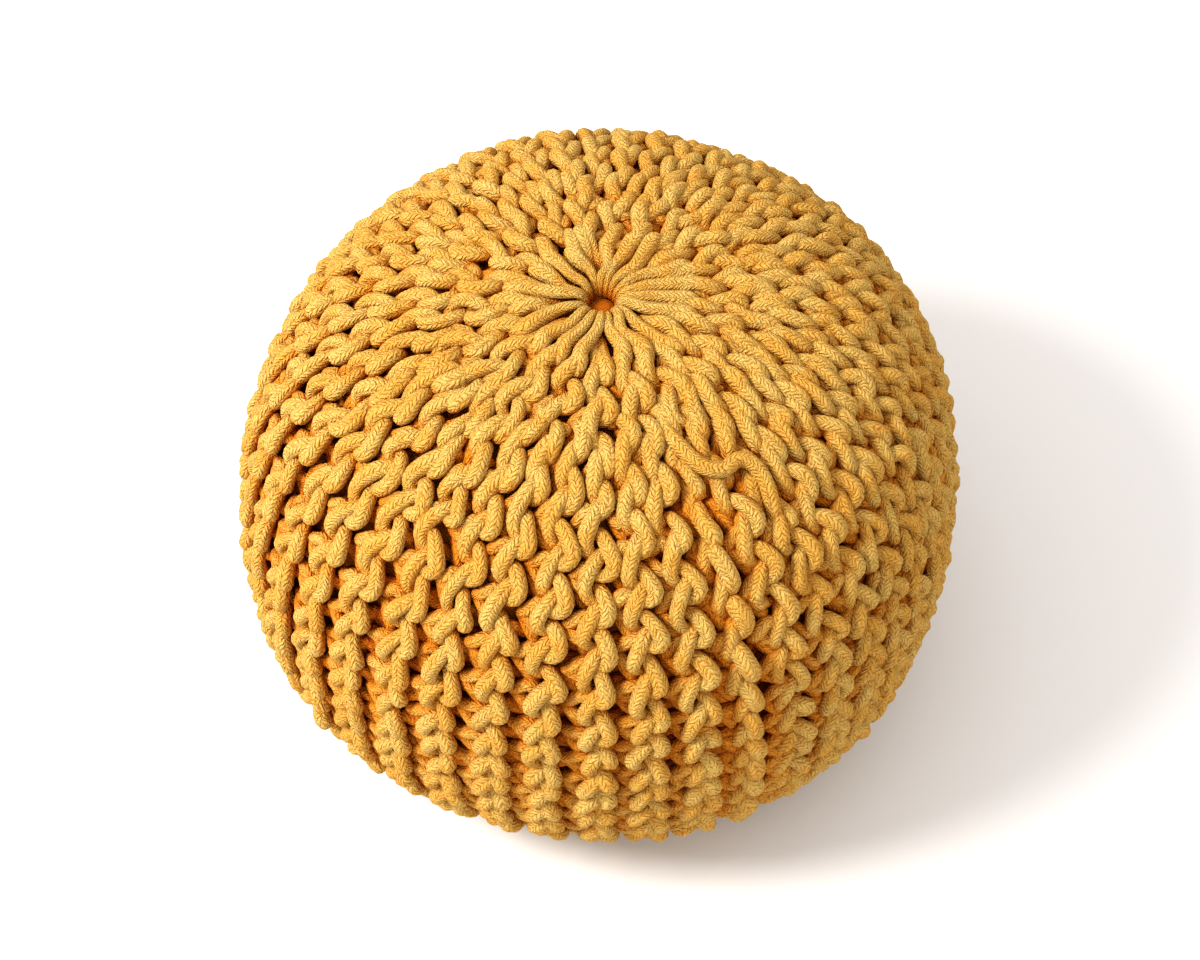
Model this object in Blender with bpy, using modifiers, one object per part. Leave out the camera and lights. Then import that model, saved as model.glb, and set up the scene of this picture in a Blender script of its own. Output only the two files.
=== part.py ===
"""Knitted pouf: a filled round cushion in a chunky garter-knit cover.

Metres, +Z up. The origin is the middle of the flattened base, on the floor.
The knitting runs from pole to pole, so its ribs are meridians. An azimuth is
measured round the vertical axis from the front (-Y) towards the right (+X).
"""
import math

import bmesh
import bpy
import numpy as np

# Overall form
OUTER_RADIUS = 0.225        # over the ribs, at the widest level
EQUATOR_HEIGHT = 0.129      # the widest level above the floor
CROWN_RISE = 0.201          # from the widest level up to the crown
UNDERSIDE_DROP = 0.137      # how far down the underside would swell off the floor
SQUARENESS = 2.6            # exponent of the outline: 2 would be an ellipse
SIDE_ROWS = 19

# Ribs of the garter knitting: every second one is a short row that starts part of the
# way down the crown, and the long ones run up to the gather
RIB_COUNT = 46
COLUMNS_PER_RIB = 4
RIB_DEPTH = 0.009
RIB_START = 0.030           # radius where the ribs come up out of the gather
RIB_FULL = 0.055
SHORT_RIB_START = 0.095     # radius where the short ribs begin between the long ones
SHORT_RIB_FULL = 0.120

# The fat spokes of cord that the top is gathered into
SPOKE_COUNT = 18
SPOKE_DEPTH = 0.005
SPOKE_START = 0.011
SPOKE_PEAK = 0.024
SPOKE_END = 0.045

# The seam, where the knitted strip is joined to itself from pole to floor
SEAM_AZIMUTH = math.radians(26.8)
SEAM_DEPTH = 0.004
SEAM_HALF_WIDTH = math.radians(1.7)

# Uneven hand knitting: rib spacing round the pouf, and its out-of-round lumps
SPACING_UNEVENNESS = 0.12
TIGHTEST_PAST_SEAM = math.radians(80)
LUMPS = (
    # folds, relative height, azimuth of a lump in degrees
    (2, 0.0091, -38),
    (3, 0.0068, 44),
    (4, 0.0077, 26),
)

# The gathered hole in the crown, and the lining bag that shows in it
HOLE_RADIUS = 0.0075
HOLE_DEPTH = 0.016
HOLE_LIP_RADIUS = 0.006
LIP_POINTS = 3
LINING_DOME = 0.002
LINING_THICKNESS = 0.003
CLEARANCE = 0.0003

COTTON = (0.62, 0.30, 0.045, 1.0)
LINING_CLOTH = (0.36, 0.12, 0.012, 1.0)


def clear_scene():
    for thing in list(bpy.data.objects):
        bpy.data.objects.remove(thing)


def new_material(name, color, roughness):
    material = bpy.data.materials.new(name)
    material.use_nodes = True
    shader = material.node_tree.nodes["Principled BSDF"]
    shader.inputs["Base Color"].default_value = color
    shader.inputs["Roughness"].default_value = roughness
    shader.inputs["Metallic"].default_value = 0.0
    return material


def smooth_step(value, low, high):
    """0 below low, 1 above high, and an even S between them."""
    t = min(max((value - low) / (high - low), 0.0), 1.0)
    return t * t * (3 - 2 * t)


def swell(angle, rise):
    """A point of the superelliptic outline, as (radius, height over the equator)."""
    power = 2 / SQUARENESS
    return OUTER_RADIUS * math.cos(angle) ** power, rise * math.sin(angle) ** power


def side_outline():
    """The outline from the lip of the hole down to the floor, in even steps of length."""
    lip_edge = HOLE_RADIUS + HOLE_LIP_RADIUS
    points = []
    for angle in np.linspace(math.pi / 2 - 1e-6, 0, 400):
        radius, height = swell(angle, CROWN_RISE)
        if radius > lip_edge:
            points.append((radius, EQUATOR_HEIGHT + height))
    for angle in np.linspace(0, math.pi / 2 - 1e-6, 400)[1:]:
        radius, height = swell(angle, UNDERSIDE_DROP)
        if height < EQUATOR_HEIGHT:
            points.append((radius, EQUATOR_HEIGHT - height))
    floor_radius = OUTER_RADIUS * (1 - (EQUATOR_HEIGHT / UNDERSIDE_DROP) ** SQUARENESS) ** (1 / SQUARENESS)
    points.append((floor_radius, 0.0))
    points = np.array(points)
    length = np.concatenate([[0], np.cumsum(np.hypot(*np.diff(points, axis=0).T))])
    even = np.linspace(0, length[-1], SIDE_ROWS + 1)
    return list(zip(np.interp(even, length, points[:, 0]), np.interp(even, length, points[:, 1])))


def hole_outline():
    """From the middle of the hole's floor, up its wall and over its rounded lip."""
    crown = EQUATOR_HEIGHT + CROWN_RISE
    points = [(0.0, crown - HOLE_DEPTH), (HOLE_RADIUS, crown - HOLE_DEPTH)]
    for turn in np.linspace(0, math.pi / 2, LIP_POINTS, endpoint=False):
        points.append((
            HOLE_RADIUS + HOLE_LIP_RADIUS * (1 - math.cos(turn)),
            crown - HOLE_LIP_RADIUS * (1 - math.sin(turn)),
        ))
    return points


def turned(name, outline, steps, collection):
    """A closed mesh object made by turning an outline, given top to bottom, round Z."""
    mesh = bpy.data.meshes.new(name + "_outline")
    corners = [(radius, 0.0, height) for radius, height in outline]
    mesh.from_pydata(corners, [(i, i + 1) for i in range(len(corners) - 1)], [])
    guide = bpy.data.objects.new(name + "_outline", mesh)
    collection.objects.link(guide)
    screw = guide.modifiers.new("turn", "SCREW")
    screw.axis = "Z"
    screw.angle = math.tau
    screw.steps = steps
    screw.render_steps = steps
    screw.use_merge_vertices = True
    screw.merge_threshold = 0.00002
    bpy.context.view_layer.update()
    solid_mesh = bpy.data.meshes.new_from_object(guide.evaluated_get(bpy.context.evaluated_depsgraph_get()))
    bpy.data.objects.remove(guide)
    solid_mesh.name = name
    solid = bpy.data.objects.new(name, solid_mesh)
    collection.objects.link(solid)
    return solid


def close_base(mesh):
    """Fill the open ring on the floor with one flat face."""
    form = bmesh.new()
    form.from_mesh(mesh)
    rim = [edge for edge in form.edges if edge.is_boundary]
    bmesh.ops.contextual_create(form, geom=rim)
    bmesh.ops.recalc_face_normals(form, faces=form.faces)
    form.to_mesh(mesh)
    form.free()


def outline_normals(outline):
    """The outward direction of each outline point, in the plane of radius and height."""
    points = np.array(outline)
    tangent = np.gradient(points, axis=0)
    normal = np.stack([-tangent[:, 1], tangent[:, 0]], axis=1)
    return normal / np.linalg.norm(normal, axis=1, keepdims=True)


def knit_azimuth(past_seam):
    """Where a rib lies, from its even angle past the seam: the knitting is tighter beyond it."""
    drift = math.sin(past_seam - TIGHTEST_PAST_SEAM) + math.sin(TIGHTEST_PAST_SEAM)
    return SEAM_AZIMUTH + past_seam - SPACING_UNEVENNESS * drift


def lump_factor(azimuth):
    return 1 + sum(
        height * math.cos(folds * (azimuth - math.radians(peak))) for folds, height, peak in LUMPS
    )


def relief(radius, on_crown, past_seam):
    """How far the surface lies below the outline: between ribs, between spokes and in the seam."""
    rib_fade = smooth_step(radius, RIB_START, RIB_FULL) if on_crown else 1.0
    short_fade = smooth_step(radius, SHORT_RIB_START, SHORT_RIB_FULL) if on_crown else 1.0
    between_all = (1 + math.cos(RIB_COUNT * past_seam)) / 2
    between_long = (1 - math.sin(RIB_COUNT / 2 * past_seam)) / 2
    rib = RIB_DEPTH * rib_fade * (short_fade * between_all + (1 - short_fade) * between_long)
    spoke_fade = smooth_step(radius, SPOKE_START, SPOKE_PEAK) if on_crown else 0.0
    spoke_fade *= 1 - smooth_step(radius, SPOKE_PEAK, SPOKE_END)
    spoke = SPOKE_DEPTH * spoke_fade * (1 + math.cos(SPOKE_COUNT * past_seam)) / 2
    from_seam = math.remainder(past_seam, math.tau)
    seam = SEAM_DEPTH * rib_fade * math.exp(-((from_seam / SEAM_HALF_WIDTH) ** 2))
    return rib + spoke + seam


def knit_relief(mesh, outline):
    """Move the turned points inwards by the relief, and round the azimuth to the ribs' places."""
    radii = np.array([radius for radius, _ in outline])
    heights = np.array([height for _, height in outline])
    normals = outline_normals(outline)
    for vertex in mesh.vertices:
        radius = math.hypot(vertex.co.x, vertex.co.y)
        height = vertex.co.z
        row = int(np.argmin((radii - radius) ** 2 + (heights - height) ** 2))
        past_seam = math.atan2(vertex.co.y, vertex.co.x)
        azimuth = knit_azimuth(past_seam)
        depth = relief(radius, height > EQUATOR_HEIGHT, past_seam)
        out, up = normals[row]
        if row == len(outline) - 1:
            out, up = 1.0, 0.0
        radius = (radius - depth * out) * lump_factor(azimuth)
        vertex.co = (radius * math.sin(azimuth), -radius * math.cos(azimuth), height - depth * up)


def centring_shift(mesh):
    """The sideways move that puts the middle of the mesh's box on the vertical axis."""
    points = np.array([vertex.co for vertex in mesh.vertices])
    middle = (points.min(axis=0) + points.max(axis=0)) / 2
    return -middle[0], -middle[1]


def shift(mesh, sideways):
    for vertex in mesh.vertices:
        vertex.co.x += sideways[0]
        vertex.co.y += sideways[1]


def make_pouf(collection, material):
    """The filled cover, one solid: gathered hole, ribbed crown and sides, flat base."""
    outline = hole_outline() + side_outline()
    pouf = turned("knitted_pouf", outline, RIB_COUNT * COLUMNS_PER_RIB, collection)
    close_base(pouf.data)
    knit_relief(pouf.data, outline)
    pouf.data.shade_smooth()
    pouf.data.materials.append(material)
    return pouf


def make_lining(collection, material):
    """The part of the inner bag that shows in the gathered hole, seated on the hole's floor."""
    radius = HOLE_RADIUS - CLEARANCE
    bottom = EQUATOR_HEIGHT + CROWN_RISE - HOLE_DEPTH + CLEARANCE
    top = bottom + LINING_THICKNESS
    outline = [
        (0.0, top + LINING_DOME),
        (radius * 0.6, top + LINING_DOME * 0.7),
        (radius, top),
        (radius, bottom),
        (0.0, bottom),
    ]
    lining = turned("lining", outline, 24, collection)
    for vertex in lining.data.vertices:
        around = lump_factor(math.atan2(vertex.co.x, -vertex.co.y))
        vertex.co.x *= around
        vertex.co.y *= around
    lining.data.shade_smooth()
    lining.data.materials.append(material)
    return lining


def main():
    clear_scene()
    collection = bpy.data.collections.new("knitted_pouf")
    bpy.context.scene.collection.children.link(collection)
    pouf = make_pouf(collection, new_material("mustard_cotton_cord", COTTON, 0.9))
    lining = make_lining(collection, new_material("lining_cloth", LINING_CLOTH, 0.85))
    sideways = centring_shift(pouf.data)
    shift(pouf.data, sideways)
    shift(lining.data, sideways)


main()
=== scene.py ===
# %% [markdown]
# # A knitted pouf
# This is a round floor pouf. Its cover is one strip of garter stitch, knitted from a fat braided
# cotton cord. The ribs run from pole to pole, the strip is sewn to itself in one upright seam, and
# its edges are gathered: into a small hole on top, and closed underneath.
# A bump map can't carry this. The cords cross over and under each other, and the dark gaps between
# them are what makes it look knitted. So each row of knitting is laid as a path, and a cord is
# wrapped round every path.

# %% Load the frame and measure it
import math

import bpy
import numpy as np
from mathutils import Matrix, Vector


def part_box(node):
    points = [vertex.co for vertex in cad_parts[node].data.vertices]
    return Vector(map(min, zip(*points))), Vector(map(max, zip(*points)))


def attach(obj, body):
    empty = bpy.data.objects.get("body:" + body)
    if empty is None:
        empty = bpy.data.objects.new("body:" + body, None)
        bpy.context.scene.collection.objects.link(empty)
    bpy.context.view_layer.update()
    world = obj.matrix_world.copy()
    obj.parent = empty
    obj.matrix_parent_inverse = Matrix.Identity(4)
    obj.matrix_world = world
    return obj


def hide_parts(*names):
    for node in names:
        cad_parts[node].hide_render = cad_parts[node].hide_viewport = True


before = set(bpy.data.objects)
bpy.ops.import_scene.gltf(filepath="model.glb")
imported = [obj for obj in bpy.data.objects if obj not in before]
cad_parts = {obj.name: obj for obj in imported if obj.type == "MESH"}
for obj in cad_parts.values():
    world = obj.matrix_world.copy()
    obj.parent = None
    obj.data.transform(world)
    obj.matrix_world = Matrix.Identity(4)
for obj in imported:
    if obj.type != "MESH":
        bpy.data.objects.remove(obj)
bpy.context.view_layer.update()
POUF_LOW, POUF_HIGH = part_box("knitted_pouf")
LINING_LOW, LINING_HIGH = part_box("lining")
CROWN = POUF_HIGH[2]
OUTER_RADIUS = (POUF_HIGH[0] - POUF_LOW[0] + POUF_HIGH[1] - POUF_LOW[1]) / 4
AXIS = ((LINING_LOW[0] + LINING_HIGH[0]) / 2, (LINING_LOW[1] + LINING_HIGH[1]) / 2)
print(f"pouf: {2 * OUTER_RADIUS:.3f} m across, {CROWN:.3f} m tall, its axis at {AXIS}")

# %% [markdown]
# ## Camera, floor and light
# The photograph looks down at the pouf, 55 degrees above the horizon, through a long lens. The floor
# is pale and plain. One large soft light stands up on the left, and the pale surroundings fill in the
# shadows, as in a studio. The high contrast look deepens the gaps between the cords, as a photograph
# does.

# %% Camera
EQUATOR_HEIGHT = 0.129      # the pouf's widest level, which the camera looks at
CAMERA_ELEVATION = math.radians(55)
CAMERA_DISTANCE = 1.4625
FOCAL_LENGTH = 68.3         # in mm, like the sensor's width
SENSOR_WIDTH = 36
FRAME_SHIFT = (-0.0014, 0.0135)


def add_camera():
    data = bpy.data.cameras.new("camera")
    data.lens = FOCAL_LENGTH
    data.sensor_width = SENSOR_WIDTH
    data.shift_x, data.shift_y = FRAME_SHIFT
    camera = bpy.data.objects.new("camera", data)
    bpy.context.scene.collection.objects.link(camera)
    aim = Vector((*AXIS, EQUATOR_HEIGHT))
    back = Vector((0, -math.cos(CAMERA_ELEVATION), math.sin(CAMERA_ELEVATION)))
    camera.location = aim + back * CAMERA_DISTANCE
    camera.rotation_euler = (-back).to_track_quat("-Z", "Y").to_euler()
    bpy.context.scene.camera = camera


add_camera()
print(f"camera {CAMERA_DISTANCE:.2f} m away, {math.degrees(CAMERA_ELEVATION):.0f} degrees up")

# %% Floor and light
FLOOR_SIZE = 12
FLOOR_COLOR = (0.72, 0.72, 0.73, 1)
KEY_PLACE = (-1.66, -0.50, 1.90)
KEY_AIM = (0, 0, 0.1)
KEY_SIZE = 0.8
KEY_POWER = 54
KEY_COLOR = (1, 0.98, 0.94)
SURROUNDINGS_COLOR = (1, 0.965, 0.93, 1)
SURROUNDINGS_STRENGTH = 0.92


def add_floor():
    bpy.ops.mesh.primitive_plane_add(size=FLOOR_SIZE)
    floor = bpy.context.object
    floor.name = "floor"
    paint = bpy.data.materials.new("pale_floor")
    paint.use_nodes = True
    shader = paint.node_tree.nodes["Principled BSDF"]
    shader.inputs["Base Color"].default_value = FLOOR_COLOR
    shader.inputs["Roughness"].default_value = 0.7
    floor.data.materials.append(paint)


def add_area_light(name, place, aim, size, power, color):
    data = bpy.data.lights.new(name, "AREA")
    data.shape = "DISK"
    data.size = size
    data.energy = power
    data.color = color
    light = bpy.data.objects.new(name, data)
    light.location = place
    light.rotation_euler = (Vector(aim) - Vector(place)).to_track_quat("-Z", "Y").to_euler()
    bpy.context.scene.collection.objects.link(light)


def add_surroundings(color, strength):
    world = bpy.data.worlds.new("studio")
    world.use_nodes = True
    world.node_tree.nodes["Background"].inputs["Color"].default_value = color
    world.node_tree.nodes["Background"].inputs["Strength"].default_value = strength
    bpy.context.scene.world = world


add_floor()
add_area_light("key", KEY_PLACE, KEY_AIM, KEY_SIZE, KEY_POWER, KEY_COLOR)
add_surroundings(SURROUNDINGS_COLOR, SURROUNDINGS_STRENGTH)
bpy.context.scene.view_settings.view_transform = "Standard"
bpy.context.scene.view_settings.look = "High Contrast"
print(f"key light of {KEY_POWER} W, {Vector(KEY_PLACE).length:.2f} m from the pouf")

# %% [markdown]
# ## The outline
# The filled cover is a turned shape. Its outline is a superellipse, which is squarer than an ellipse,
# fuller above the widest level than below it, and cut flat where it rests on the floor. The knitting
# is thick, so its middle layer lies well inside the outline that shows.

# %% The outline of the knitting's middle layer
SQUARENESS = 2.6            # exponent of the outline: 2 would be an ellipse
UNDERSIDE_DROP = 0.137      # how far down the underside would swell off the floor
SWELL_POINTS = 600
BASE_POINTS = 40
STEP = 0.001                # the outlines are measured in steps of this length
CORD_RADIUS = 0.0041
CREST = 0.0070              # how far the front arcs stand out of the middle layer
PROUD = 0.0014              # how far the fat arcs bulge past the outline
MIDDLE_DEPTH = CREST + CORD_RADIUS - PROUD


def swell(angles, rise):
    power = 2 / SQUARENESS
    return np.stack([OUTER_RADIUS * np.cos(angles) ** power, rise * np.sin(angles) ** power], axis=1)


def outer_outline():
    """Points of the outline, as radius and height, from the crown to the middle of the base."""
    down = np.linspace(math.pi / 2, 0, SWELL_POINTS)
    crown_part = swell(down, CROWN - EQUATOR_HEIGHT) + (0, EQUATOR_HEIGHT)
    further_down = np.linspace(0, math.pi / 2, SWELL_POINTS)[1:]
    under_part = swell(further_down, -UNDERSIDE_DROP) + (0, EQUATOR_HEIGHT)
    under_part = under_part[under_part[:, 1] > 0]
    base_radii = np.linspace(under_part[-1, 0], 0, BASE_POINTS)[1:]
    base = np.stack([base_radii, np.zeros(len(base_radii))], axis=1)
    return np.concatenate([crown_part, under_part, base])


def even_steps(points, step):
    """The length to each of a line's points in even steps, and the points."""
    length = np.concatenate([[0], np.cumsum(np.linalg.norm(np.diff(points, axis=0), axis=1))])
    even = np.arange(0, length[-1], step)
    return even, np.stack([np.interp(even, length, column) for column in points.T], axis=1)


def outward(points):
    tangent = np.gradient(points, axis=0)
    normal = np.stack([-tangent[:, 1], tangent[:, 0]], axis=1)
    return normal / np.linalg.norm(normal, axis=1, keepdims=True)


_, OUTER = even_steps(outer_outline(), STEP)
ALONG, MIDDLE = even_steps(np.abs(OUTER - MIDDLE_DEPTH * outward(OUTER)), STEP)
NORMAL = outward(MIDDLE)
LENGTH = ALONG[-1]
print(f"the middle layer is {LENGTH:.3f} m long from pole to pole")

# %% [markdown]
# ## Where the ribs lie
# Hand knitting is never quite even. The ribs are a little closer together to the right of the seam,
# and the pouf is not perfectly round. Both are slow waves round the pouf. With them, one function
# turns a place in the knitting (how far along a rib, which azimuth, how far out) into a point.

# %% From the knitting to space
RIB_COUNT = 46
SEAM_AZIMUTH = math.radians(26.8)
SPACING_UNEVENNESS = 0.12
TIGHTEST_PAST_SEAM = math.radians(80)
LUMPS = (
    # folds, relative height, azimuth of a lump in degrees
    (2, 0.0091, -38),
    (3, 0.0068, 44),
    (4, 0.0077, 26),
)


def rib_azimuth(rib):
    """The azimuth of a rib, counted from the seam; a fraction of a rib lies between two."""
    past_seam = np.asarray(rib) * math.tau / RIB_COUNT
    drift = np.sin(past_seam - TIGHTEST_PAST_SEAM) + math.sin(TIGHTEST_PAST_SEAM)
    return SEAM_AZIMUTH + past_seam - SPACING_UNEVENNESS * drift


def lump_factor(azimuth):
    return 1 + sum(
        height * np.cos(folds * (azimuth - math.radians(peak))) for folds, height, peak in LUMPS
    )


def radius_at(along):
    return np.interp(along, ALONG, MIDDLE[:, 0])


def place(along, azimuth, out):
    """Points in space, from the length down from the crown, the azimuth and the height off the layer."""
    radius = radius_at(along) + out * np.interp(along, ALONG, NORMAL[:, 0])
    height = np.interp(along, ALONG, MIDDLE[:, 1]) + out * np.interp(along, ALONG, NORMAL[:, 1])
    radius = radius * lump_factor(azimuth)
    x, y = AXIS[0] + radius * np.sin(azimuth), AXIS[1] - radius * np.cos(azimuth)
    return np.stack([x, y, height], axis=-1)


rib_widths = np.diff(rib_azimuth(np.arange(RIB_COUNT + 1))) * OUTER_RADIUS
print(f"ribs {1000 * rib_widths.min():.1f} to {1000 * rib_widths.max():.1f} mm apart at the widest level")

# %% [markdown]
# ## One stitch
# In garter stitch the rows lie in pairs, and each pair makes one raised rib. An arc of the first row
# comes up on the left of the rib and slants down over it to the right. An arc of the second row comes
# up on the right, half a stitch further on, and slants down over the rib to the left. So the arcs of a
# rib meet like roofs, one below the other, and both ends of an arc dive under its two neighbours.
# Each table is one stitch, from its turn at the back to the next one: the first table is for the
# first row of a rib, and the second table, which is used mirrored, for the second. Points on the rib
# are measured from the middle of the rib, and the others from the middle of the groove beside it.

# %% The stitch
MM = 0.001
HEAD_STITCH = (
    # from the rib or the groove beside it, along (share of a stitch), across, out (mm), relative girth
    ("groove", -0.47, -6.5, -5.2, 0.98),
    ("groove", -0.42, -3.0, -3.8, 0.98),
    ("groove", -0.33, 2.0, -1.4, 1.00),
    ("groove", -0.27, 7.0, -0.6, 1.00),
    ("rib", -0.36, -4.6, -1.0, 0.98),
    ("rib", -0.40, -0.6, 1.8, 1.02),
    ("rib", -0.27, 2.4, 5.2, 1.12),
    ("rib", -0.05, 4.9, 7.2, 1.20),
    ("rib", 0.16, 6.1, 7.2, 1.23),
    ("rib", 0.32, 4.0, 5.3, 1.17),
    ("rib", 0.35, -0.8, 1.6, 1.00),
    ("groove", 0.21, 7.0, 0.0, 1.04),
    ("groove", 0.33, 2.0, -0.8, 1.06),
    ("groove", 0.46, -3.0, -2.6, 1.00),
)
FOOT_STITCH = (
    ("groove", -0.40, -6.5, -5.4, 0.98),
    ("groove", -0.42, -3.0, -5.2, 0.98),
    ("groove", -0.46, 2.0, -4.8, 1.00),
    ("groove", -0.52, 7.0, -3.6, 1.00),
    ("rib", -0.60, -4.8, -0.8, 0.98),
    ("rib", -0.53, -2.2, 2.8, 1.04),
    ("rib", -0.34, 1.2, 6.0, 1.14),
    ("rib", -0.06, 4.4, 6.8, 1.19),
    ("rib", 0.22, 6.0, 5.2, 1.12),
    ("rib", 0.42, 3.6, 2.0, 1.00),
    ("rib", 0.48, -2.0, -1.4, 0.98),
    ("groove", 0.44, 7.0, -3.8, 1.00),
    ("groove", 0.38, 2.0, -4.8, 1.00),
    ("groove", 0.38, -3.0, -5.2, 0.98),
)


def columns(table):
    """The table as arrays: on the rib or not, along, across, out and girth."""
    numbers = np.array([row[1:] for row in table]) * (1, MM, MM, 1)
    return np.array([row[0] == "rib" for row in table]), *numbers.T


print(f"{len(HEAD_STITCH)} points for a stitch of a rib's first row, {len(FOOT_STITCH)} for its second")


# %% Stitch lengths down the pouf
STITCH_LENGTHS = (
    # length down from the crown, length of a stitch there (m)
    (0.00, 0.0262),
    (0.08, 0.0275),
    (0.14, 0.0282),
    (0.20, 0.0262),
    (0.30, 0.0225),
    (0.37, 0.0210),
    (0.50, 0.0240),
)
FIRST_STITCH = 0.041        # length down from the crown to the first stitches
STITCH_NUMBER = np.cumsum(STEP / np.interp(ALONG, *np.array(STITCH_LENGTHS).T))
STITCH_NUMBER -= np.interp(FIRST_STITCH, ALONG, STITCH_NUMBER)
STITCH_TOTAL = STITCH_NUMBER[-1]
print(f"{STITCH_TOTAL:.1f} stitches from the gather on top to the middle of the base")


def smooth_step(value, low, high):
    """0 below low, 1 above high, and an even S between them."""
    t = np.clip((np.asarray(value) - low) / (high - low), 0, 1)
    return t * t * (3 - 2 * t)


# %% [markdown]
# ## Long and short ribs
# A flat strip with 46 ribs could not be gathered into so small a hole. So every second rib is a short
# row: it begins part of the way down the crown, in the gap between two long ones, and ends just as
# far from the middle of the base. Above that the long ribs stand apart, and draw together again
# towards the gather.

# %% Where the rows run
UNEVEN = np.random.default_rng(11)  # every random draw comes from here, in one order
SHORT_RIB_START = 0.104     # length down from the crown where the short ribs begin
SHORT_RIB_END = 0.100       # length from the middle of the base where they end
SPREAD_LENGTH = 0.022       # the long ribs close up over this length
EARLY = 0.2                 # stitches by which a short rib may begin before its place
PHASE_STRAY = 0.16          # stitches by which the ribs are out of step with each other
PHASES = UNEVEN.normal(0, PHASE_STRAY, RIB_COUNT)


def crowding(along):
    """1 where all ribs run, 0 near the poles where only the long ones do."""
    on_top = smooth_step(along, SHORT_RIB_START - SPREAD_LENGTH, SHORT_RIB_START)
    below = smooth_step(LENGTH - along, SHORT_RIB_END - SPREAD_LENGTH, SHORT_RIB_END)
    return on_top * below


def stitch_numbers(rib, side, shares):
    """Where each point of the row's stitches lies, counted in stitches from the gather."""
    start, end = 0, STITCH_TOTAL - 1
    shift = 0.5 if side < 0 else 0
    if rib % 2 == 1:
        start = np.interp(SHORT_RIB_START, ALONG, STITCH_NUMBER) - shift - EARLY
        end = np.interp(LENGTH - SHORT_RIB_END, ALONG, STITCH_NUMBER) - shift
    first, count = math.ceil(start - PHASES[rib] - 0.5), int(end - start)
    numbers = np.repeat(np.arange(first, first + count), len(shares)) + np.tile(shares, count)
    return numbers + PHASES[rib] + shift, count


# %% [markdown]
# ## The seam
# Where the strip is sewn to itself, the last rib keeps only its right half: one column of stout lobes,
# with a wide groove of strands on its left and a sunken column on its right. At the top of the seam a
# loose loop of cord lies across the next two ribs, which dip under it.

# %% The seam's stitches
SEAM_RIB = RIB_COUNT - 1
SEAM_STITCH = (
    # from the rib or the groove beside it, along (share of a stitch), across, out (mm), relative girth
    ("groove", -0.44, -3.0, -4.2, 1.05),
    ("groove", -0.42, 4.0, -2.8, 1.05),
    ("rib", -0.47, -2.5, 1.0, 1.20),
    ("rib", -0.34, -0.5, 5.0, 1.35),
    ("rib", -0.06, 1.2, 7.2, 1.42),
    ("rib", 0.22, 2.2, 6.8, 1.42),
    ("rib", 0.38, 1.6, 3.8, 1.30),
    ("rib", 0.44, -2.5, 0.2, 1.10),
    ("groove", 0.40, 4.0, -2.6, 1.05),
    ("groove", 0.46, -3.0, -4.2, 1.05),
)
SEAM_HOLLOWS = (
    # rib, its right (1) or left (-1) row, from and to (m down from the crown), how deep it is pressed in
    (SEAM_RIB, -1, 0.090, 0.600, 0.0036),
    (SEAM_RIB, 1, 0.090, 0.150, 0.0042),
    (0, -1, 0.145, 0.600, 0.0022),
    (0, -1, 0.113, 0.138, 0.0050),
    (0, 1, 0.113, 0.138, 0.0050),
    (1, -1, 0.118, 0.160, 0.0050),
    (1, 1, 0.118, 0.160, 0.0050),
)
HOLLOW_EDGE = 0.006
SEAM_LOOP = (
    # azimuth (degrees), m down from the crown, out (mm)
    (19.0, 0.080, -2.0),
    (20.5, 0.088, 4.0),
    (22.2, 0.098, 8.0),
    (24.6, 0.110, 8.6),
    (27.2, 0.120, 8.8),
    (31.5, 0.126, 9.6),
    (36.0, 0.125, 9.4),
    (38.8, 0.131, 8.6),
    (39.2, 0.141, 8.2),
    (38.2, 0.152, 7.4),
    (37.6, 0.162, 3.0),
    (38.4, 0.170, -4.0),
    (38.8, 0.174, -6.0),
)
LOOP_GIRTH = 1.16


def pressed(rib, side, along):
    """How far a row is pressed in beside the seam."""
    depth = np.zeros(len(along))
    for hollow_rib, hollow_side, start, end, deep in SEAM_HOLLOWS:
        if (rib, side) == (hollow_rib, hollow_side):
            begun = smooth_step(along, start - HOLLOW_EDGE, start + HOLLOW_EDGE)
            ended = smooth_step(along, end - HOLLOW_EDGE, end + HOLLOW_EDGE)
            depth += deep * (begun - ended)
    return depth


def loop_path():
    degrees, along, out = np.array(SEAM_LOOP).T
    points = place(along, np.radians(degrees), out * MM)
    return points, np.full(len(points), LOOP_GIRTH * CORD_RADIUS)


loop_length = np.linalg.norm(np.diff(loop_path()[0], axis=0), axis=1).sum()
print(f"the loose loop takes {loop_length:.3f} m of cord")

# %% [markdown]
# ## The gather
# On top the ends of the long rows are drawn together. What shows is a star of plain cords. They plunge
# over a rounded lip into the hole, press against each other round it, and further out become the first
# arcs of their rows. There is room for only 18 of them, and the other rows begin tucked in below.

# %% How a row comes out of the gather
SPOKE_COUNT = 18
SPOKE = (
    # distance from the axis, out (mm), relative girth
    (9.0, -8.0, 0.50),
    (9.2, -2.0, 0.50),
    (9.9, 2.4, 0.52),
    (11.2, 5.4, 0.57),
    (13.8, 6.9, 0.66),
    (17.5, 7.3, 0.77),
    (22.5, 7.0, 0.88),
    (29.0, 6.8, 0.98),
)
UNDER_SPOKE = (
    (17.0, -6.0, 0.70),
    (22.0, -1.5, 0.85),
    (29.0, 1.2, 1.00),
    (37.0, 3.2, 1.04),
)
OVERLAP = 0.0009            # every second spoke lies higher by this, and the others lower
LIFT_STRAY = 0.0005         # and each strays up or down by about this
LIFT_REACH = (0.009, 0.014)     # distance from the axis over which that begins
HOLE_STRAY = 0.05           # how far a spoke's end strays round the hole (radians)
TURN_START = 0.012          # distance from the axis where it begins to turn towards its row
BEND = 0.10                 # how far it bends sideways on its way (radians)
BEND_START = 0.010
SPOKE_OF_LONG_RIB = {round(s * RIB_COUNT / 2 / SPOKE_COUNT): s for s in range(SPOKE_COUNT)}
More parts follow.
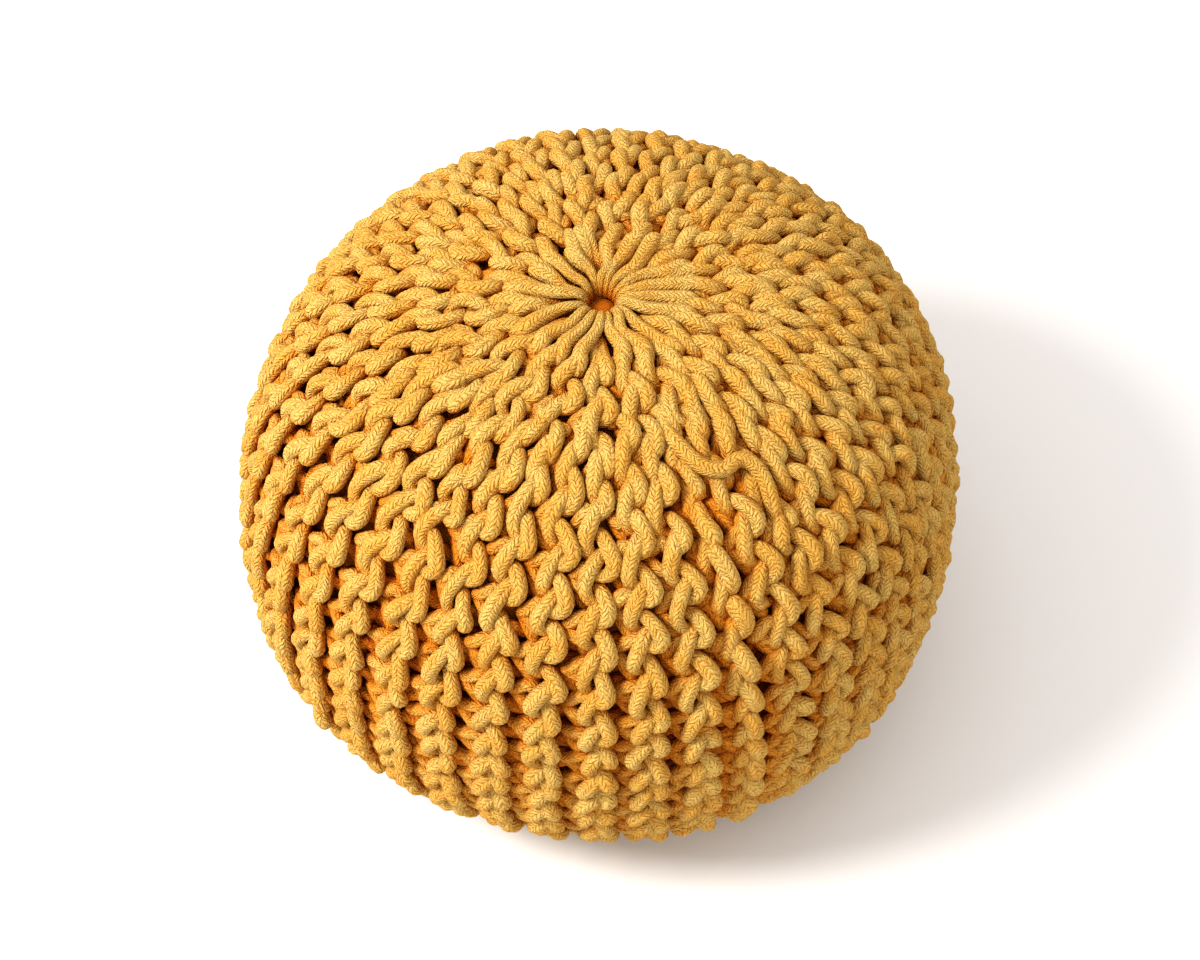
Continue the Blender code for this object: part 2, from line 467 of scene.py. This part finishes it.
LEG_POINTS = {1: 7, -1: 6}  # points of the first stitch, on each side, that the gather takes up
LEAD_GAP = 0.006            # from the end of the lead-in to the row's first point


def lead_in(rib, side, first_along, first_azimuth):
    """The end of a long row in the gather, as along, azimuth, out and girth."""
    spoke = SPOKE_OF_LONG_RIB.get(rib // 2) if side > 0 else None
    reach, out, girth = np.array(UNDER_SPOKE if spoke is None else SPOKE).T * [[MM], [MM], [1]]
    if spoke is None:
        at_hole = rib_azimuth(rib + (0.5 if side > 0 else -0.5))
    else:
        at_hole = rib_azimuth(RIB_COUNT * (spoke + 0.5) / SPOKE_COUNT)
    at_hole = at_hole + UNEVEN.normal(0, HOLE_STRAY)
    lift = UNEVEN.normal(0, LIFT_STRAY) + (0 if spoke is None else OVERLAP * (-1) ** spoke)
    out = out + lift * smooth_step(reach, *LIFT_REACH)
    azimuth = at_hole + (first_azimuth - at_hole) * smooth_step(reach, TURN_START, first_along)
    on_its_way = smooth_step(reach, BEND_START, first_along)
    azimuth = azimuth + UNEVEN.normal(0, BEND) * np.sin(math.pi * on_its_way)
    keep = reach < first_along - LEAD_GAP
    return [column[keep] for column in (reach, azimuth, out, girth)]


# %% One row of stitches
ROOMY_RIB = 0.0056          # from a rib to its groove, beyond one cord, where the tables hold
NARROWEST = 0.25            # the arcs draw together to this share where there is little room
WIDEST = 1.2                # and spread to this one at most where there is more
ROOMY_GROOVE = 0.0157       # from a rib to its groove where the tables hold
GROOVE_FILL = 0.0025        # the grooves are this much shallower near the floor
LOW_GIRTH = 0.10            # and the cords are fatter by this share
LEG_RISE = 0.0030           # on the crown the front strands in the grooves lie this much higher
BACK_RISE = 0.0008          # and the ones behind them only this much
LEGS_SINK = (0.20, 0.33)    # the length down from the crown over which they sink again
LOOSENESS = (0.0018, 0.0011, 0.0009)    # how far points stray along, across and out
LOOSE_STEP = 3              # points from one random value to the next
GIRTH_STRAY = 0.06          # the share by which a cord's girth strays
FINE_STEP = 2
TUCK = 0.006                # how far the ends of a row are tucked in
LOW_PART = (0.25, 0.35)     # the length down from the crown over which the lower part begins


def slow_wave(length, step, size):
    """Random values that change slowly: one is drawn every few points, and the rest lie between."""
    knots = np.arange(0, length + step, step)
    return np.interp(np.arange(length), knots, UNEVEN.normal(0, size, len(knots)))


def groove_rise(along, crown_rise):
    """How much higher the strands in the grooves lie than the tables say."""
    return GROOVE_FILL * smooth_step(along, *LOW_PART) + crown_rise * (1 - smooth_step(along, *LEGS_SINK))


def row_path(row):
    """The path of one row of knitting, from its first stitch on top to its last one below."""
    rib, side = row // 2, (1 if row % 2 == 0 else -1)
    if rib == SEAM_RIB and side > 0:
        stitch = SEAM_STITCH
    else:
        stitch = HEAD_STITCH if side > 0 else FOOT_STITCH
    on_rib, shares, across, out, girth = columns(stitch)
    numbers, count = stitch_numbers(rib, side, shares)
    on_rib, across, out, girth = (np.tile(column, count) for column in (on_rib, across, out, girth))
    along = np.interp(numbers, STITCH_NUMBER, ALONG)
    radius = radius_at(along)
    to_groove = 1 - 0.5 * crowding(along)
    width = (rib_azimuth(rib + 1) - rib_azimuth(rib)) * radius * to_groove
    on_rib_room = np.clip((width - CORD_RADIUS) / ROOMY_RIB, NARROWEST, WIDEST)
    room = np.where(on_rib, on_rib_room, width / ROOMY_GROOVE)
    rise = groove_rise(along, LEG_RISE if side > 0 else BACK_RISE)
    out = out + np.where(on_rib, 0, rise) - pressed(rib, side, along)
    centre = rib + 0.5 - np.where(on_rib, 0, side * to_groove)
    stray = [slow_wave(len(numbers), LOOSE_STEP, size) for size in LOOSENESS]
    azimuth = rib_azimuth(centre) + (side * across * room + stray[1]) / radius
    along, out = along + stray[0], out + stray[2]
    out[-2:] -= TUCK
    if rib % 2 == 0:
        rest = slice(LEG_POINTS[side], None)
        along, azimuth, out, girth = (column[rest] for column in (along, azimuth, out, girth))
        lead = lead_in(rib, side, along[0], azimuth[0])
        along, azimuth, out, girth = (
            np.concatenate(pair) for pair in zip(lead, (along, azimuth, out, girth))
        )
    else:
        out[:2] -= TUCK
    fatter = 1 + LOW_GIRTH * smooth_step(along, *LOW_PART) + slow_wave(len(along), FINE_STEP, GIRTH_STRAY)
    return place(along, azimuth, out), CORD_RADIUS * girth * fatter


# %% [markdown]
# ## Behind the rows
# The rows alone would leave gaps down to the inner bag. In the knitting the backs of the stitches lie
# there, so a strand winds down each groove, sunk behind the rows.

# %% The strand in a groove
BACK_STITCH = (
    # along (share of a stitch), across, out (mm)
    (-0.50, -4.5, -6.2),
    (-0.34, -2.0, -3.4),
    (-0.12, 2.5, -1.8),
    (0.08, 7.0, -1.8),
    (0.22, 8.0, -5.0),
    (0.34, 2.0, -7.0),
)
BACK_GIRTH = 1.04
BACK_START = 1              # stitches from the gather to where these begin
BACK_END = 1.5              # stitches from where they end to the middle of the base
BACK_STRAY = (0.0012, 0.0006)   # how far points stray across and out


def back_path(rib, side):
    """The path of the strand behind the groove on one side of a long rib."""
    shares, across, out = np.array(BACK_STITCH).T * [[1], [MM], [MM]]
    count = int(STITCH_TOTAL - BACK_START - BACK_END)
    numbers = BACK_START + np.repeat(np.arange(count), len(shares)) + np.tile(shares, count)
    along = np.interp(numbers + PHASES[rib if side < 0 else rib + 1], STITCH_NUMBER, ALONG)
    across, out = np.tile(across, count), np.tile(out, count)
    to_groove = 1 - 0.5 * crowding(along)
    width = (rib_azimuth(rib + 1) - rib_azimuth(rib)) * radius_at(along) * to_groove
    across = across * width / ROOMY_GROOVE + slow_wave(len(along), FINE_STEP, BACK_STRAY[0])
    out = out + groove_rise(along, BACK_RISE) + slow_wave(len(along), FINE_STEP, BACK_STRAY[1])
    points = place(along, rib_azimuth(rib + 0.5 + side * to_groove) + across / radius_at(along), out)
    return points, np.full(len(points), BACK_GIRTH * CORD_RADIUS)


# %% Smooth paths in even steps
SEGMENT = 0.0031
BACK_SEGMENT = 1.5 * SEGMENT


def flowing(points, steps=5):
    """A smooth curve through points."""
    p0, p1, p2, p3 = points[:-3, None], points[1:-2, None], points[2:-1, None], points[3:, None]
    t = np.linspace(0, 1, steps, endpoint=False)[None, :, None]
    curve = 0.5 * (2 * p1 + (p2 - p0) * t + (2 * p0 - 5 * p1 + 4 * p2 - p3) * t**2)
    curve = curve + 0.5 * (3 * p1 - p0 - 3 * p2 + p3) * t**3
    return curve.reshape(-1, points.shape[1])


def cord_path(points, thickness, step):
    """A smooth path in even steps, with the cord's thickness, raised where it would sink into the floor."""
    curve = flowing(np.column_stack([points, thickness]))
    curve[:, 2] = np.maximum(curve[:, 2], curve[:, 3])
    length = np.concatenate([[0], np.cumsum(np.linalg.norm(np.diff(curve[:, :3], axis=0), axis=1))])
    even = np.linspace(0, length[-1], max(4, int(length[-1] / step)))
    return np.stack([np.interp(even, length, column) for column in curve.T], axis=1)


ROWS = [cord_path(*row_path(row), SEGMENT) for row in range(2 * RIB_COUNT)]
ROWS.append(cord_path(*loop_path(), SEGMENT))
BACKS = [
    cord_path(*back_path(rib, side), BACK_SEGMENT) for rib in range(0, RIB_COUNT, 2) for side in (-1, 1)
]
print(f"{len(ROWS)} rows, {sum(map(len, ROWS))} points; {sum(map(len, BACKS))} points behind")

# %% [markdown]
# ## Wrapping a cord round a path
# Geometry Nodes do this well: the paths are a mesh of bare edges, which becomes curves, and a small
# circle is swept along each. Before the sweep the tree notes how far along the cord each point is,
# and where on the circle, so that the material can draw the braid along the cord.

# %% The cord tree
NOTE_ALONG = "along_cord"
NOTE_AROUND = "around_cord"
NOTE_THICKNESS = "cord_thickness"
NOTE_DEPTH = "depth"


def cord_tree(material):
    tree = bpy.data.node_groups.new("cord_on_paths", "GeometryNodeTree")
    face = tree.interface
    face.new_socket("Geometry", in_out="INPUT", socket_type="NodeSocketGeometry")
    face.new_socket("Sides", in_out="INPUT", socket_type="NodeSocketInt")
    face.new_socket("Geometry", in_out="OUTPUT", socket_type="NodeSocketGeometry")
    nodes, links = tree.nodes, tree.links
    inputs = nodes.new("NodeGroupInput")
    outputs = nodes.new("NodeGroupOutput")
    to_curve = nodes.new("GeometryNodeMeshToCurve")
    length = nodes.new("GeometryNodeSplineParameter")
    note_along = nodes.new("GeometryNodeStoreNamedAttribute")
    note_along.data_type = "FLOAT"
    note_along.inputs["Name"].default_value = NOTE_ALONG
    circle = nodes.new("GeometryNodeCurvePrimitiveCircle")
    circle.inputs["Radius"].default_value = 1
    where = nodes.new("GeometryNodeInputPosition")
    note_around = nodes.new("GeometryNodeStoreNamedAttribute")
    note_around.data_type = "FLOAT_VECTOR"
    note_around.inputs["Name"].default_value = NOTE_AROUND
    thickness = nodes.new("GeometryNodeInputNamedAttribute")
    thickness.data_type = "FLOAT"
    thickness.inputs["Name"].default_value = NOTE_THICKNESS
    sweep = nodes.new("GeometryNodeCurveToMesh")
    sweep.inputs["Fill Caps"].default_value = True
    smooth = nodes.new("GeometryNodeSetShadeSmooth")
    realize = nodes.new("GeometryNodeRealizeInstances")
    paint = nodes.new("GeometryNodeSetMaterial")
    paint.inputs["Material"].default_value = material
    links.new(inputs.outputs["Geometry"], to_curve.inputs["Mesh"])
    links.new(to_curve.outputs["Curve"], note_along.inputs["Geometry"])
    links.new(length.outputs["Length"], note_along.inputs["Value"])
    links.new(inputs.outputs["Sides"], circle.inputs["Resolution"])
    links.new(circle.outputs["Curve"], note_around.inputs["Geometry"])
    links.new(where.outputs["Position"], note_around.inputs["Value"])
    links.new(note_along.outputs["Geometry"], sweep.inputs["Curve"])
    links.new(note_around.outputs["Geometry"], sweep.inputs["Profile Curve"])
    links.new(thickness.outputs["Attribute"], sweep.inputs["Scale"])
    links.new(sweep.outputs["Mesh"], smooth.inputs["Geometry"])
    links.new(smooth.outputs["Geometry"], realize.inputs["Geometry"])
    links.new(realize.outputs["Geometry"], paint.inputs["Geometry"])
    links.new(paint.outputs["Geometry"], outputs.inputs["Geometry"])
    return tree


def socket_named(tree, name):
    return next(s.identifier for s in tree.interface.items_tree if s.name == name and s.in_out == "INPUT")


def path_mesh(name, paths):
    """A mesh of bare edges along the paths, with each point's thickness."""
    points = np.concatenate(paths)
    ends = np.cumsum([len(path) for path in paths]) - 1
    starts = np.delete(np.arange(len(points)), ends)
    mesh = bpy.data.meshes.new(name)
    mesh.from_pydata(points[:, :3].tolist(), np.stack([starts, starts + 1], axis=1).tolist(), [])
    mesh.attributes.new(NOTE_THICKNESS, "FLOAT", "POINT").data.foreach_set("value", points[:, 3])
    return mesh


def depth_inside(points):
    """How far points lie inside the outline that shows."""
    x, y, height = points.T
    radius = np.hypot(x - AXIS[0], y - AXIS[1]) / lump_factor(np.arctan2(x - AXIS[0], AXIS[1] - y))
    rise = np.where(height > EQUATOR_HEIGHT, CROWN - EQUATOR_HEIGHT, UNDERSIDE_DROP)
    sideways, upright = radius / OUTER_RADIUS, np.abs(height - EQUATOR_HEIGHT) / rise
    level = (sideways**SQUARENESS + upright**SQUARENESS) ** (1 / SQUARENESS)
    slope = np.hypot(sideways ** (SQUARENESS - 1) / OUTER_RADIUS, upright ** (SQUARENESS - 1) / rise)
    return (1 - level) * level ** (SQUARENESS - 1) / slope


def note_depth(mesh):
    points = np.empty(3 * len(mesh.vertices))
    mesh.vertices.foreach_get("co", points)
    depth = depth_inside(points.reshape(-1, 3))
    mesh.attributes.new(NOTE_DEPTH, "FLOAT", "POINT").data.foreach_set("value", depth)


def cord_object(name, paths, tree, sides):
    """A mesh object of cords wrapped round paths."""
    guide = bpy.data.objects.new(name + "_paths", path_mesh(name + "_paths", paths))
    bpy.context.scene.collection.objects.link(guide)
    wrap = guide.modifiers.new("cord", "NODES")
    wrap.node_group = tree
    wrap[socket_named(tree, "Sides")] = sides
    bpy.context.view_layer.update()
    graph = bpy.context.evaluated_depsgraph_get()
    mesh = bpy.data.meshes.new_from_object(guide.evaluated_get(graph))
    bpy.data.objects.remove(guide)
    mesh.name = name
    note_depth(mesh)
    cord = bpy.data.objects.new(name, mesh)
    bpy.context.scene.collection.objects.link(cord)
    return cord


# %% [markdown]
# ## Braided cotton
# The cord is a braid of soft cotton strands. Round the cord the strands lie in columns that slant
# to the left and to the right in turn, which gives the herringbone look, and painted shade darkens
# the creases where they cross, in broken specks. An image could not follow the cords, but a few Math
# nodes can: they read how far along and where round its cord each point lies. The colour also follows
# the depth that is noted on every cord, as painted shade: pale on the crests, plain mustard on the
# sides and a deep orange in the grooves, where the knitting shades itself.

# %% Shader helpers
def node(tree, kind, **settings):
    made = tree.nodes.new(kind)
    for name, value in settings.items():
        setattr(made, name, value)
    return made


def calc(tree, operation, *values):
    """A Math node; each value is a number or another node's output."""
    made = node(tree, "ShaderNodeMath", operation=operation)
    for socket, value in zip(made.inputs, values):
        if isinstance(value, (int, float)):
            socket.default_value = value
        else:
            tree.links.new(value, socket)
    return made.outputs[0]


def blend_colors(tree, share, first, second):
    made = node(tree, "ShaderNodeMix", data_type="RGBA")
    for name, value in (("Factor", share), ("A", first), ("B", second)):
        socket = next(s for s in made.inputs if s.name == name and s.enabled)
        if isinstance(value, (tuple, float, int)):
            socket.default_value = value
        else:
            tree.links.new(value, socket)
    return next(s for s in made.outputs if s.enabled)


# %% The cotton material
# painted shade: by the depth noted on each cord, the colour goes from pale crests to plain mustard sides
# and a deep orange in the grooves
MUSTARD_PALE = (0.745, 0.515, 0.170, 1)
MUSTARD_LIGHT = (0.745, 0.435, 0.104, 1)
MUSTARD = (0.80, 0.315, 0.028, 1)
GROOVE_SHADE_MUSTARD = (0.50, 0.105, 0.005, 1)
CREASE_SHADE_BROWN = (0.50, 0.15, 0.007, 1)
SIDE_SHADE_DEPTH = (0.0010, 0.0080)      # from the pale crests to the plain mustard
GROOVE_SHADE_DEPTH = (0.0065, 0.0130)     # from the plain mustard to the deep one
BRAID_COLUMNS = 8
STRAND_PITCH = 0.0028
BRAID_SLANT = 1.3           # strands that a column's slant rises by, from side to side
COLUMN_WAVE = 0.9           # how much the columns wander, in columns
STRAND_WAVE = 3.0           # how much the strands wander, in strands
GRAIN_WAVE = 1.1            # roughness of the fibres, and of the bends, relative to a strand's height
BEND_WAVE = 0.9
# painted shade in the braid's creases, where the strands sink, broken up into specks
CREASE_HEIGHT = (0.42, -0.05)       # from where a dark crease begins to its bottom
CREASE_SPECKS = (0.30, 0.55)        # the creases are broken up by specks
CREASE_SHADE_SHARE = 0.8
CLOUD_SCALE, BEND_SCALE, SPECK_SCALE, GRAIN_SCALE = 55, 330, 420, 1500    # noise, per metre
PALE_CLOUDS = (0.35, 0.65)  # from the light crests to the pale ones


def noise(tree, place, scale, detail):
    made = node(tree, "ShaderNodeTexNoise")
    made.inputs["Scale"].default_value = scale
    made.inputs["Detail"].default_value = detail
    tree.links.new(place, made.inputs["Vector"])
    return made.outputs["Fac"]


def smooth_range(tree, value, low, high):
    made = node(tree, "ShaderNodeMapRange", interpolation_type="SMOOTHSTEP")
    made.inputs["From Min"].default_value = low
    made.inputs["From Max"].default_value = high
    tree.links.new(value, made.inputs["Value"])
    return made.outputs["Result"]


def wobble(tree, value, wave, size):
    """The value with a wave, which runs from 0 to 1, added on both sides of it."""
    return calc(tree, "ADD", value, calc(tree, "MULTIPLY", calc(tree, "SUBTRACT", wave, 0.5), size))


def square(tree, value):
    return calc(tree, "MULTIPLY", value, value)


def cotton():
    paint = bpy.data.materials.new("braided_cotton")
    paint.use_nodes = True
    tree = paint.node_tree
    shader = tree.nodes["Principled BSDF"]
    along = node(tree, "ShaderNodeAttribute", attribute_name=NOTE_ALONG).outputs["Fac"]
    around = node(tree, "ShaderNodeAttribute", attribute_name=NOTE_AROUND).outputs["Vector"]
    depth = node(tree, "ShaderNodeAttribute", attribute_name=NOTE_DEPTH).outputs["Fac"]
    coordinates = node(tree, "ShaderNodeTexCoord").outputs["Object"]
    clouds = noise(tree, coordinates, CLOUD_SCALE, 3)
    bends = noise(tree, coordinates, BEND_SCALE, 2)
    grain = noise(tree, coordinates, GRAIN_SCALE, 3)
    specks = noise(tree, coordinates, SPECK_SCALE, 2)
    parts = node(tree, "ShaderNodeSeparateXYZ")
    tree.links.new(around, parts.inputs[0])
    angle = calc(tree, "ARCTAN2", parts.outputs["Y"], parts.outputs["X"])
    column = wobble(tree, calc(tree, "MULTIPLY", angle, BRAID_COLUMNS / math.tau), bends, COLUMN_WAVE)
    which = calc(tree, "FLOOR", column)
    inside = calc(tree, "SUBTRACT", calc(tree, "SUBTRACT", column, which), 0.5)
    odd = calc(tree, "FLOORED_MODULO", which, 2.0)
    hand = calc(tree, "SUBTRACT", calc(tree, "MULTIPLY", odd, 2.0), 1.0)
    slant = calc(tree, "MULTIPLY", calc(tree, "MULTIPLY", inside, hand), BRAID_SLANT)
    straight = calc(tree, "DIVIDE", along, STRAND_PITCH)
    strand = wobble(tree, calc(tree, "ADD", straight, slant), clouds, STRAND_WAVE)
    within = calc(tree, "SUBTRACT", calc(tree, "FRACT", strand), 0.5)
    # a strand is rounded across, and sinks a little less far at the edges of its column
    across_strand = calc(tree, "SUBTRACT", 1.0, calc(tree, "MULTIPLY", square(tree, within), 4.0))
    across_column = calc(tree, "SUBTRACT", 1.0, calc(tree, "MULTIPLY", square(tree, inside), 3.0))
    height = calc(tree, "MULTIPLY", across_strand, across_column)
    rough = wobble(tree, wobble(tree, height, grain, GRAIN_WAVE), bends, BEND_WAVE)
    crest = blend_colors(tree, smooth_range(tree, clouds, *PALE_CLOUDS), MUSTARD_LIGHT, MUSTARD_PALE)
    # painted shade: darker and a deeper orange the further in the cord lies
    side = blend_colors(tree, smooth_range(tree, depth, *SIDE_SHADE_DEPTH), crest, MUSTARD)
    shaded_tone = blend_colors(tree, smooth_range(tree, depth, *GROOVE_SHADE_DEPTH), side, GROOVE_SHADE_MUSTARD)
    # painted shade darkens the low creases between the strands, in broken specks
    in_crease_shade, broken = smooth_range(tree, rough, *CREASE_HEIGHT), smooth_range(tree, specks, *CREASE_SPECKS)
    crease_shade = calc(tree, "MULTIPLY", calc(tree, "MULTIPLY", in_crease_shade, broken), CREASE_SHADE_SHARE)
    color = blend_colors(tree, crease_shade, shaded_tone, CREASE_SHADE_BROWN)
    tree.links.new(color, shader.inputs["Base Color"])
    shader.inputs["Roughness"].default_value = 0.95
    shader.inputs["Sheen Weight"].default_value = 0.06
    shader.inputs["Sheen Roughness"].default_value = 0.6
    shader.inputs["Sheen Tint"].default_value = (1, 0.75, 0.35, 1)
    shader.inputs["Specular IOR Level"].default_value = 0.15
    bump = node(tree, "ShaderNodeBump")
    bump.inputs["Strength"].default_value = 0.9
    bump.inputs["Distance"].default_value = 0.0020
    tree.links.new(rough, bump.inputs["Height"])
    tree.links.new(bump.outputs["Normal"], shader.inputs["Normal"])
    return paint


COTTON = cotton()
print(f"{len(COTTON.node_tree.nodes)} nodes draw a braid of {BRAID_COLUMNS} columns")

# %% [markdown]
# ## The cloth of the inner bag
# Under the knitting is a filled bag of plain woven cloth. It shows at the bottom of the gathered hole,
# and as dark spots in the deepest gaps. A weave is two sets of threads at right angles, so here it is
# the product of two waves.

# %% The woven cloth
THREAD_PITCH = 0.0009
WEAVE_SCALE = 900           # of the noise in the threads, per metre
WEAVE_WAVE = 0.8            # unevenness of the threads, relative to their height
WEAVE_RANGE = (-0.9, 0.7)   # from the dark gaps of the weave to its light threads
# the lining's cloth: its own orange, darkened with painted shade because it lies at the bottom of the hole
LINING_LIGHT_SHADED = (0.50, 0.175, 0.018, 1)
LINING_DARK_SHADED = (0.30, 0.095, 0.009, 1)
BAG_LIGHT = (0.70, 0.26, 0.013, 1)
BAG_DARK = (0.48, 0.16, 0.007, 1)


def woven_cloth(name, light, dark):
    """A plain weave: threads of two directions go over and under each other."""
    paint = bpy.data.materials.new(name)
    paint.use_nodes = True
    tree = paint.node_tree
    shader = tree.nodes["Principled BSDF"]
    coordinates = node(tree, "ShaderNodeTexCoord").outputs["Object"]
    parts = node(tree, "ShaderNodeSeparateXYZ")
    tree.links.new(coordinates, parts.inputs[0])
    warp = calc(tree, "ADD", parts.outputs["X"], parts.outputs["Z"])
    weft = calc(tree, "SUBTRACT", parts.outputs["Y"], parts.outputs["Z"])
    warp_wave, weft_wave = (
        calc(tree, "SINE", calc(tree, "MULTIPLY", way, math.pi / THREAD_PITCH)) for way in (warp, weft)
    )
    uneven = noise(tree, coordinates, WEAVE_SCALE, 2)
    weave = wobble(tree, calc(tree, "MULTIPLY", warp_wave, weft_wave), uneven, WEAVE_WAVE)
    color = blend_colors(tree, smooth_range(tree, weave, *WEAVE_RANGE), dark, light)
    tree.links.new(color, shader.inputs["Base Color"])
    shader.inputs["Roughness"].default_value = 0.92
    shader.inputs["Specular IOR Level"].default_value = 0.08
    bump = node(tree, "ShaderNodeBump")
    bump.inputs["Strength"].default_value = 0.6
    bump.inputs["Distance"].default_value = 0.0003
    tree.links.new(weave, bump.inputs["Height"])
    tree.links.new(bump.outputs["Normal"], shader.inputs["Normal"])
    return paint


# %% [markdown]
# ## From paths to cords
# Now the cord goes round every path. The rows are wrapped in five pieces, because one mesh would be
# too heavy to hand over. The strands behind them show little, so their cord has fewer sides.

# %% Wrap the rows, in a few pieces
SECTORS = 5
CORD_SIDES = 10
BACK_SIDES = 8
CORD = cord_tree(COTTON)


def dress(piece):
    """Every piece here stands for the pouf's solid, and the pouf has one body."""
    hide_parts("knitted_pouf")
    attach(piece, "root")
    print(piece.name, len(piece.data.polygons), "faces")


def color_lining():
    """The lining's shape is right as it is; it only gets its cloth, an orange darkened with painted shade
    for the bottom of the hole.
    """
    cloth = woven_cloth("orange_cloth_hole_shade", LINING_LIGHT_SHADED, LINING_DARK_SHADED)
    bpy.data.objects["lining"].material_slots[0].material = cloth


for sector in range(SECTORS):
    first = 2 * RIB_COUNT * sector // SECTORS
    last = len(ROWS) if sector == SECTORS - 1 else 2 * RIB_COUNT * (sector + 1) // SECTORS
    dress(cord_object(f"knit_{sector + 1}", ROWS[first:last], CORD, CORD_SIDES))
dress(cord_object("groove_strands", BACKS, CORD, BACK_SIDES))
color_lining()

# %% [markdown]
# ## The filled bag
# The bag has the outline of the knitting's middle layer, a little further in, and is turned in rings
# round the axis. The knitting presses it smooth, so it needs no folds.

# %% The bag
BAG_DEPTH = 0.0074          # how far the bag lies inside the middle layer
BAG_TOP = 0.012             # length down from the crown to its first ring, below the hole
BAG_RINGS, BAG_STEPS = 60, 96


def make_bag():
    rings, steps = BAG_RINGS, BAG_STEPS
    along = np.linspace(BAG_TOP, LENGTH, rings)
    azimuth = np.linspace(0, math.tau, steps, endpoint=False)
    grid = place(np.repeat(along, steps), np.tile(azimuth, rings), -BAG_DEPTH)
    faces = [
        (r * steps + i, (r + 1) * steps + i, (r + 1) * steps + (i + 1) % steps, r * steps + (i + 1) % steps)
        for r in range(rings - 1)
        for i in range(steps)
    ]
    faces.append(tuple(range(steps)))
    faces.append(tuple(reversed(range((rings - 1) * steps, rings * steps))))
    mesh = bpy.data.meshes.new("filled_bag")
    mesh.from_pydata(grid.tolist(), [], faces)
    mesh.materials.append(woven_cloth("bag_cloth", BAG_LIGHT, BAG_DARK))
    mesh.shade_smooth()
    bag = bpy.data.objects.new("filled_bag", mesh)
    bpy.context.scene.collection.objects.link(bag)
    dress(bag)


make_bag()
